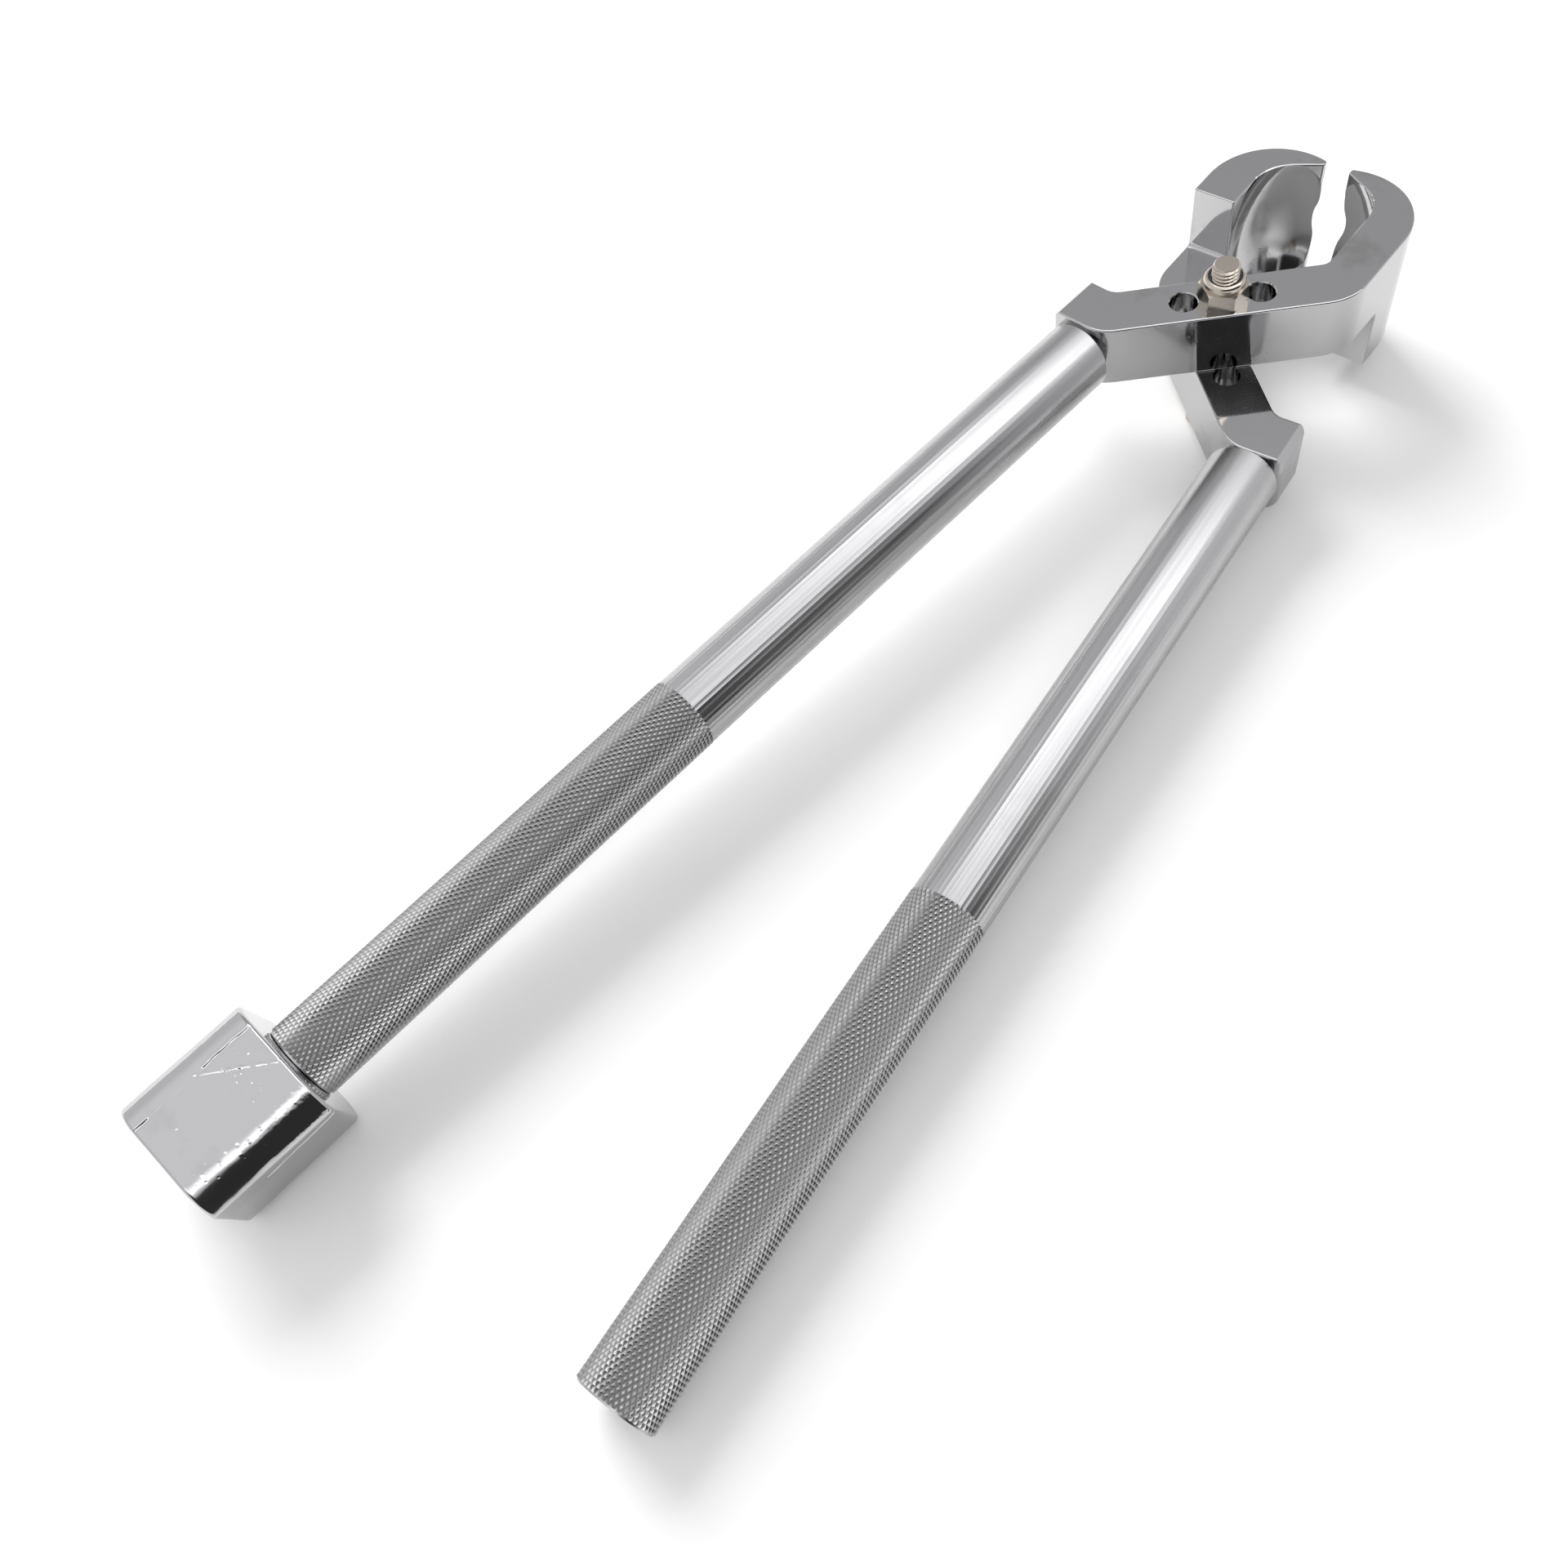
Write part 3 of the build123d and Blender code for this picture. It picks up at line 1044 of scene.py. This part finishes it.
    def outline(self) -> np.ndarray:
        """Traces the block's section: three round corners and a broad, softly crowned one.

        Returns:
            One row for each column of the mesh, with a point and its outward direction.
        """
        same_place = 1e-9
        even = ((self.corner, math.pi / 2),)
        crowned = ((self.crown_edge, self.crown_turn), (self.crown, math.pi / 2 - self.crown_turn))
        trace = []
        for quarter, radii in enumerate((even, even, even, crowned)):
            for x, y, nx, ny in self.bend(radii):
                for _ in range(quarter):
                    x, y, nx, ny = -y, x, -ny, nx
                trace.append((x, y, nx, ny))
        trace.append(trace[0])
        line = np.array(trace)
        walk = np.concatenate(([0.0], np.cumsum(np.linalg.norm(np.diff(line[:, :2], axis=0), axis=1))))
        keep = np.concatenate(([True], np.diff(walk) > same_place))
        places = np.linspace(0.0, walk[-1], self.columns, endpoint=False)
        return np.stack([np.interp(places, walk[keep], line[keep, k]) for k in range(4)], axis=1)

    def place(self, i: int, row: tuple[float, float, float, float, float]) -> tuple[Vector, Vector]:
        """Finds a point of a row.

        Args:
            i: number of the point round the block.
            row: the row, as rows() lists it.

        Returns:
            The point and its outward direction.
        """
        t, square, inset, scale, radius = row
        x, y, nx, ny = self.section[i]
        x = (x - nx * inset) * scale
        y = (y - ny * inset) * scale
        if square < 1:
            size = math.hypot(x, y)
            x = x * square + x / size * radius * (1 - square)
            y = y * square + y / size * radius * (1 - square)
        point = self.axis.origin + self.axis.along * t + self.flat * x + self.cross * y
        return point, self.flat * nx + self.cross * ny

    def relief(self, i: int, along: float, end: float) -> float:
        """Tells how far the skin stands out at a point.

        Args:
            i: number of the point round the block.
            along: distance from the block's first end.
            end: distance from the nearer end.

        Returns:
            The distance, less than 0 where the skin is sunk.
        """
        top_from, side_from = 0.3, -0.8
        held, end_share, end_fade = 0.95, 0.25, 1.5 * MM
        x, y, nx, ny = self.section[i]
        across, below, s = (self.half - y) / MM, (self.half - x) / MM, along / MM
        height = 0.0
        for tall, wave, wave_along in SWELLS:
            height += tall * noise.noise(Vector((x / MM * wave, y / MM * wave, s * wave_along)))
        if nx > top_from:
            strong = self.seam_share if self.seam_faint[0] <= s <= self.seam_faint[1] else 1.0
            height += strong * (SEAM_RISE.relief(across, s) + SEAM_DIP.relief(across, s))
            if s < self.slant_end:
                height += SLANT.relief(across, s)
            height += self.blister(across, s)
            rough = noise.noise(Vector((across * GRAIN_PACE, s * GRAIN_PACE, 4.0)))
            height += GRAIN * rough * max(0.0, 1 - s / GRAIN_END)
        if ny < side_from and self.cut_band[0] < below < self.cut_band[1] and s < self.cut_end:
            height += SIDE_CUT.relief(below, s)
        return min(height * MM, self.skin * held) * min(1.0, max(end_share, end / end_fade))

    def scatter(self) -> list[tuple[float, float, float, float]]:
        """Spreads blisters and pits over the top, two of three of them crowded near the first end.

        Returns:
            For each: its place across and along the top, its height and its steepness, in mm.
        """
        spread, turn, drift, first = 0.61803, 0.41421, 0.0731, 0.17
        crowded, loose = (13.0, 11.0), (20.0, 32.0)
        left, front = 10.0, 1.5
        low, pit, steep, steeper = 0.05, -0.12, 6.0, 8.0
        places = []
        for k in range(self.blister_count):
            a = (k * spread) % 1
            b = (k * k * drift + k * turn + first) % 1
            wide, long = crowded if k % 3 else loose
            height = low + low * b if k % 5 else pit
            places.append((left + wide * a, front + long * b, height, steep + steeper * a))
        return places

    def blister(self, across: float, along: float) -> float:
        """Adds up the blisters and pits that reach a place on the top, all in mm.

        Args:
            across: distance from the block's left side.
            along: distance from its first end.

        Returns:
            Their height there.
        """
        reach = 1.5
        total = 0.0
        for at_across, at_along, height, steep in self.blisters:
            away = (across - at_across) ** 2 + (along - at_along) ** 2
            if away < reach:
                total += height * math.exp(-away * steep)
        return total


@dataclass
class PivotBolt:
    """The pivot bolt: a chamfered hexagon head, a plain shank and a cut thread with a chamfered end.

    Attributes:
        node: the CAD node it stands for.
        columns: points round it, a multiple of six.
        pitch: thread pitch.
        depth: thread depth.
        thread_length: length of the thread from the end.
        row: height of one row of the thread.
        face_share: radius of the head's round faces, as a share of half the width across flats.
        face_inner: radius of the underside's inner ring, as the same share.
        chamfer_angle: angle of the head's chamfer from the bolt's axis, in degrees.
        head_rows: heights of the head's rows, as shares of its height.
        root: half width of the flat at the thread's bottom, as a share of the pitch.
        flank: width of one flank, as a share of the pitch.
        end_inset: how much narrower the end face is than the thread.
        end_slope: radius lost for each unit of height at the end's chamfer.
        dark_share: how dark the painted shade in the thread's bottom is.
    """

    node: str = "pivot_bolt"
    columns: int = 96
    pitch: float = 1.25 * MM
    depth: float = 0.62 * MM
    thread_length: float = 22.0 * MM
    row: float = 0.0625 * MM
    face_share: float = 0.94
    face_inner: float = 0.6
    chamfer_angle: float = 60.0
    head_rows: tuple[float, ...] = (0.04, 0.1, 0.16, 0.84, 0.9, 0.96)
    root: float = 0.07
    flank: float = 0.36
    end_inset: float = 0.55 * MM
    end_slope: float = 0.9
    dark_share: float = 0.9

    def build(self) -> bpy.types.Object:
        """Builds the bolt in rows from the underside of its head to its end.

        Returns:
            The finished piece.
        """
        points = [v.co for v in frame["nodes"][self.node].data.vertices]
        top = max(p.z for p in points)
        shank = max(math.hypot(p.x, p.y) for p in points if p.z > top / 2)
        wide = max(math.hypot(p.x, p.y) for p in points)
        turn = next(math.atan2(p.y, p.x) for p in points if math.hypot(p.x, p.y) > wide - SLACK)
        head = max(p.z for p in points if math.hypot(p.x, p.y) > (shank + wide) / 2)
        across = wide * math.cos(math.pi / 6)
        round_face = across * self.face_share
        run_out = 0.5 * MM
        make = Builder()
        rows: list[tuple[float, float]] = [(0.0, across * self.face_inner), (0.0, round_face)]
        rows += [(head * share, 0.0) for share in self.head_rows]
        rows += [(head, round_face), (head, shank), (top - self.thread_length - run_out, shank)]
        count = int(self.thread_length / self.row)
        last = None
        for z, fixed in rows:
            ring = []
            for i in range(self.columns):
                angle = turn + 2 * math.pi * i / self.columns
                radius = fixed or self.hexagon(angle - turn, across, min(z, head - z))
                ring.append(self.spot(make, angle, radius, z))
            if last is None:
                make.cap(ring, Vector((0, 0, 0)), False)
            else:
                make.band(last, ring)
            last = ring
        for k in range(count + 1):
            z = top - self.thread_length + k * self.row
            ring = []
            for i in range(self.columns):
                angle = turn + 2 * math.pi * i / self.columns
                radius = self.thread(angle, z, top, shank)
                ring.append(self.spot(make, angle, radius, z))
                # painted shade in the thread's roots, darker the deeper the point lies
                if z < top - run_out:
                    make.painted_groove_shade[ring[-1]] = (shank - radius) / self.depth * self.dark_share
            make.band(last, ring)
            last = ring
        make.cap(last, Vector((0, 0, top)), False)
        return make.piece("pivot_bolt_threaded", self.node, FASTENER_PLATE, crease=30.0)

    @staticmethod
    def spot(make: Builder, angle: float, radius: float, z: float) -> int:
        """Adds the point at an angle, radius and height, and returns its number."""
        return make.dot(Vector((radius * math.cos(angle), radius * math.sin(angle), z)), (angle * radius, z))

    def hexagon(self, angle: float, across: float, depth: float) -> float:
        """Finds the radius of the chamfered hexagon.

        Args:
            angle: angle from one of its corners.
            across: half the width across its flats.
            depth: distance from the nearer end of the head.

        Returns:
            The radius.
        """
        sector = (angle % (math.pi / 3)) - math.pi / 6
        chamfer = across * self.face_share + depth * math.tan(math.radians(self.chamfer_angle))
        return min(across / math.cos(sector), chamfer)

    def thread(self, angle: float, z: float, top: float, shank: float) -> float:
        """Finds the radius of the thread.

        Args:
            angle: angle round the bolt.
            z: height.
            top: height of the bolt's end.
            shank: outer radius of the thread.

        Returns:
            The radius.
        """
        phase = (z / self.pitch - angle / (2 * math.pi)) % 1
        rise = min(1.0, max(0.0, (abs(phase - 0.5) - self.root) / self.flank))
        fade = min(1.0, (z - top + self.thread_length) / self.pitch)
        radius = shank - self.depth * (1 - rise) * fade
        return min(radius, shank - self.end_inset + (top - z) * self.end_slope)


@dataclass
class PlainParts:
    """The pieces whose CAD shape already is the finished shape: both jaws, the lock nut and its ring."""

    def build(self) -> None:
        """Gives each its finish."""
        finishes = {
            "jaw_upper": JAW_CHROME,
            "jaw_lower": JAW_CHROME,
            "lock_nut": FASTENER_PLATE,
            "lock_nut_insert": NYLON_BLACK,
        }
        for node, finish in finishes.items():
            obj = frame["nodes"][node]
            obj.data.materials.clear()
            obj.data.materials.append(finish.material())
            LOG.info("%s: %s", node, finish.slot.value)


# ---- studio ---------------------------------------------------------------------


@dataclass
class Room:
    """What the metal mirrors: grey walls, a paler ceiling, and a dark side with a lit strip over it.

    Heights are sines of the angle over the horizon, each pair from where a change begins to where
    it is whole. Directions are angles from +Y towards +X, in degrees.

    Attributes:
        wall: brightness of the walls.
        ceiling: brightness of the ceiling.
        ceiling_edge: heights between the walls and the ceiling.
        dark_way: direction of the dark side.
        dark_edge: cosines of the angles from that direction where the dark side ends.
        dark_top: heights where the dark side ends.
        dark_share: how much of the light is lost there.
        far_way: direction of a second, softer dark part.
        far_height: its angle over the horizon, in degrees.
        far_edge: cosines of the angles where it ends.
        far_share: how much of the light is lost there.
        strip_low: heights where the lit strip begins.
        strip_high: heights where it ends.
        strip: its brightness.
        blue: blue in the light, as a share of the red.
    """

    wall: float = 0.72
    ceiling: float = 0.9
    ceiling_edge: tuple[float, float] = (0.55, 0.95)
    dark_way: float = 115.0
    dark_edge: tuple[float, float] = (0.58, 0.72)
    dark_top: tuple[float, float] = (0.7, 0.79)
    dark_share: float = 0.95
    far_way: float = -26.0
    far_height: float = 41.0
    far_edge: tuple[float, float] = (0.72, 0.95)
    far_share: float = 0.36
    strip_low: tuple[float, float] = (0.78, 0.82)
    strip_high: tuple[float, float] = (0.87, 0.95)
    strip: float = 1.1
    blue: float = 1.02

    def build(self) -> bpy.types.World:
        """Makes the room and puts the scene in it.

        Returns:
            The room.
        """
        world = bpy.data.worlds.new("room")
        world.use_nodes = True
        graph = Graph(world.node_tree)
        way = graph.add("ShaderNodeTexCoord").outputs["Generated"]
        height = graph.add("ShaderNodeSeparateXYZ", {0: way}).outputs["Z"]
        plain = graph.ramp(height, *self.ceiling_edge, self.wall, self.ceiling)
        flat = graph.add("ShaderNodeVectorMath", {0: way, 1: (1.0, 1.0, 0.0)}, operation="MULTIPLY")
        level_way = graph.add("ShaderNodeVectorMath", {0: flat.outputs[0]}, operation="NORMALIZE")
        side = self.share(graph, level_way.outputs[0], self.dark_way, 0.0, self.dark_edge)
        dark = graph.math("MULTIPLY", side, graph.ramp(height, *self.dark_top, self.dark_share, 0.0))
        part = self.share(graph, way, self.far_way, self.far_height, self.far_edge)
        far = graph.math("MULTIPLY", part, self.far_share)
        kept = graph.math("MULTIPLY", graph.math("SUBTRACT", 1.0, dark), graph.math("SUBTRACT", 1.0, far))
        over = graph.math("MULTIPLY", graph.ramp(height, *self.strip_low, 0.0, self.strip), side)
        strip = graph.math("MULTIPLY", over, graph.ramp(height, *self.strip_high, 1.0, 0.0))
        level = graph.math("ADD", graph.math("MULTIPLY", plain, kept), strip)
        blue = graph.math("MULTIPLY", level, self.blue)
        colour = graph.add("ShaderNodeCombineColor", {"Red": level, "Green": level, "Blue": blue})
        graph.feed(world.node_tree.nodes["Background"].inputs["Color"], colour.outputs[0])
        bpy.context.scene.world = world
        return world

    @staticmethod
    def share(
        graph: Graph,
        way: bpy.types.NodeSocket,
        azimuth: float,
        height: float,
        span: tuple[float, float],
    ) -> bpy.types.NodeSocket:
        """Picks the part of the room that lies about one direction.

        Args:
            graph: the room's graph.
            way: the direction looked in.
            azimuth: the part's direction from +Y towards +X, in degrees.
            height: its height over the horizon, in degrees.
            span: cosines of the angles where the part begins and is whole.

        Returns:
            1 inside the part and 0 outside it.
        """
        turn, rise = math.radians(azimuth), math.radians(height)
        aim = (math.sin(turn) * math.cos(rise), math.cos(turn) * math.cos(rise), math.sin(rise))
        dot = graph.add("ShaderNodeVectorMath", {0: way, 1: aim}, operation="DOT_PRODUCT").outputs["Value"]
        return graph.ramp(dot, *span, 0.0, 1.0)


@dataclass
class Studio:
    """Pale floor under the tool where it lies, a soft light over it, a window, a room and the camera.

    Attributes:
        half_floor: half the floor's width.
        paper_levels: darkest and palest grey of the floor.
        paper_grain: cells of its grain per metre.
        paper_green: green of the floor, as a share of the red.
        paper_blue: blue of the floor, as a share of the red.
        paper_glow: brightness added where the floor is seen straight.
        light_size: sides of the soft light that shows in the metal.
        light_power: its power.
        light_place: where it hangs.
        light_turn: how it is turned, in degrees.
        window_size: sides of the window that throws the shadows.
        window_power: its power.
        window_place: where it stands.
        window_aim: the place it faces.
        lens: the camera's focal length, mm.
        sensor: the camera's sensor width, mm.
        camera_place: where the camera stands.
        camera_turn: its yaw from +Y towards +X, its pitch down and its roll, in radians.
        camera_reach: nearest and farthest distance it sees.
    """

    half_floor: float = 6.0
    paper_levels: tuple[float, float] = (0.885, 0.9)
    paper_grain: float = 40.0
    paper_green: float = 0.996
    paper_blue: float = 0.987
    paper_glow: float = 0.12
    light_size: tuple[float, float] = (2.1, 0.8)
    light_power: float = 7.5
    light_place: tuple[float, float, float] = (0.35, 0.68, 1.5)
    light_turn: tuple[float, float, float] = (-20.0, 0.0, 18.0)
    window_size: tuple[float, float] = (0.9, 0.9)
    window_power: float = 26.0
    window_place: tuple[float, float, float] = (-1.15, 0.25, 1.15)
    window_aim: tuple[float, float, float] = (0.0, -0.15, 0.0)
    lens: float = 31.427
    sensor: float = 36.0
    camera_place: tuple[float, float, float] = (0.14871, -0.30417, 0.34485)
    camera_turn: tuple[float, float, float] = (-0.977656, 1.02515, 0.319839)
    camera_reach: tuple[float, float] = (0.01, 50.0)

    def resting_plane(self, nodes: list[str]) -> tuple[Vector, Vector]:
        """Finds the plane that touches each node from below, as a floor touches a thing on three points.

        Args:
            nodes: three CAD nodes, each with one point of contact.

        Returns:
            A point of the plane and its upward normal.
        """
        tries = 12
        clouds = [np.array([v.co for v in frame["nodes"][n].data.vertices]) for n in nodes]
        normal = np.array((0.0, 0.0, 1.0))
        for _ in range(tries):
            touch = [cloud[np.argmin(cloud @ normal)] for cloud in clouds]
            normal = np.cross(touch[1] - touch[0], touch[2] - touch[0])
            normal *= np.sign(normal[2]) / np.linalg.norm(normal)
        return Vector(touch[0]), Vector(normal)

    def floor(self) -> bpy.types.Object:
        """Lays a wide pale floor under the bolt head, the hammer and the plain handle's end.

        Returns:
            The floor object.
        """
        point, normal = self.resting_plane(["pivot_bolt", "hammer_block", "handle_bar_plain_side"])
        side = Vector((1, 0, 0)).cross(normal).normalized()
        across = side.cross(normal)
        r = self.half_floor
        corners = [point + across * x * r + side * y * r for x, y in ((-1, -1), (1, -1), (1, 1), (-1, 1))]
        mesh = bpy.data.meshes.new("floor")
        mesh.from_pydata(corners, [], [(0, 1, 2, 3)])
        obj = bpy.data.objects.new("floor", mesh)
        bpy.context.scene.collection.objects.link(obj)
        mesh.materials.append(self.paper())
        return obj

    def paper(self) -> bpy.types.Material:
        """Makes the floor's material: matt paper, a little brighter to the eye than in the metal.

        Returns:
            The material.
        """
        mat = bpy.data.materials.new("floor_paper")
        mat.use_nodes = True
        graph = Graph(mat.node_tree)
        shader = mat.node_tree.nodes["Principled BSDF"]
        shader.inputs["Roughness"].default_value = 0.9
        shader.inputs["Specular IOR Level"].default_value = 0.1
        shader.inputs["Emission Strength"].default_value = 1.0
        place = graph.add("ShaderNodeTexCoord").outputs["Object"]
        grain_edge = (0.2, 0.8)
        level = graph.ramp(graph.noise(place, self.paper_grain, 3.0), *grain_edge, *self.paper_levels)
        green = graph.math("MULTIPLY", level, self.paper_green)
        blue = graph.math("MULTIPLY", level, self.paper_blue)
        colour = graph.add("ShaderNodeCombineColor", {"Red": level, "Green": green, "Blue": blue})
        graph.feed(shader.inputs["Base Color"], colour.outputs[0])
        seen = graph.add("ShaderNodeLightPath").outputs["Is Camera Ray"]
        glow = graph.math("MULTIPLY", seen, self.paper_glow)
        white = graph.add("ShaderNodeCombineColor", {"Red": glow, "Green": glow, "Blue": glow})
        graph.feed(shader.inputs["Emission Color"], white.outputs[0])
        return mat

    @staticmethod
    def lamp(
        name: str,
        size: tuple[float, float],
        power: float,
        place: tuple[float, float, float],
    ) -> bpy.types.Object:
        """Hangs a flat light.

        Args:
            name: its name.
            size: its two sides.
            power: its power.
            place: where it hangs.

        Returns:
            The light.
        """
        data = bpy.data.lights.new(name, "AREA")
        data.shape = "RECTANGLE"
        data.size, data.size_y = size
        data.energy = power
        obj = bpy.data.objects.new(name, data)
        bpy.context.scene.collection.objects.link(obj)
        obj.location = place
        return obj

    def light(self) -> bpy.types.Object:
        """Hangs the soft light over the claws; it shows in the metal and throws no shadow on the floor.

        Returns:
            The light.
        """
        obj = self.lamp("softbox", self.light_size, self.light_power, self.light_place)
        obj.rotation_euler = tuple(math.radians(angle) for angle in self.light_turn)
        obj.visible_diffuse = False
        return obj

    def window(self) -> bpy.types.Object:
        """Sets a wide window to the left that throws the soft shadows on the floor.

        Returns:
            The window's light.
        """
        obj = self.lamp("window", self.window_size, self.window_power, self.window_place)
        aim = Vector(self.window_aim) - obj.location
        obj.rotation_euler = aim.to_track_quat("-Z", "Y").to_euler()
        obj.visible_glossy = False
        return obj

    def camera(self) -> bpy.types.Object:
        """Stands the camera over the plain handle, looking down at the tool.

        Returns:
            The camera.
        """
        data = bpy.data.cameras.new("camera")
        data.sensor_width = self.sensor
        data.lens = self.lens
        data.clip_start, data.clip_end = self.camera_reach
        obj = bpy.data.objects.new("camera", data)
        bpy.context.scene.collection.objects.link(obj)
        yaw, pitch, roll = self.camera_turn
        ahead = Vector((math.sin(yaw) * math.cos(pitch), math.cos(yaw) * math.cos(pitch), -math.sin(pitch)))
        right = Vector((math.cos(yaw), -math.sin(yaw), 0))
        down = ahead.cross(right)
        rolled_right = math.cos(roll) * right + math.sin(roll) * down
        rolled_down = -math.sin(roll) * right + math.cos(roll) * down
        turn = Matrix((rolled_right, -rolled_down, -ahead)).transposed()
        obj.matrix_world = Matrix.Translation(Vector(self.camera_place)) @ turn.to_4x4()
        bpy.context.scene.camera = obj
        return obj

    def build(self) -> None:
        """Sets up the camera, the floor, the room and the lights."""
        self.camera()
        self.floor()
        Room().build()
        self.light()
        self.window()
        bpy.context.scene.view_settings.view_transform = "Standard"


def main() -> None:
    """Builds every piece and the studio."""
    logging.basicConfig(level=logging.INFO)
    bpy.context.view_layer.update()
    Studio().build()
    PlainParts().build()
    KnurledBar("handle_bar_hammer_side").build()
    KnurledBar("handle_bar_plain_side").build()
    HammerBlock().build()
    PivotBolt().build()
    bpy.context.view_layer.update()


if __name__ == "__main__":
    main()
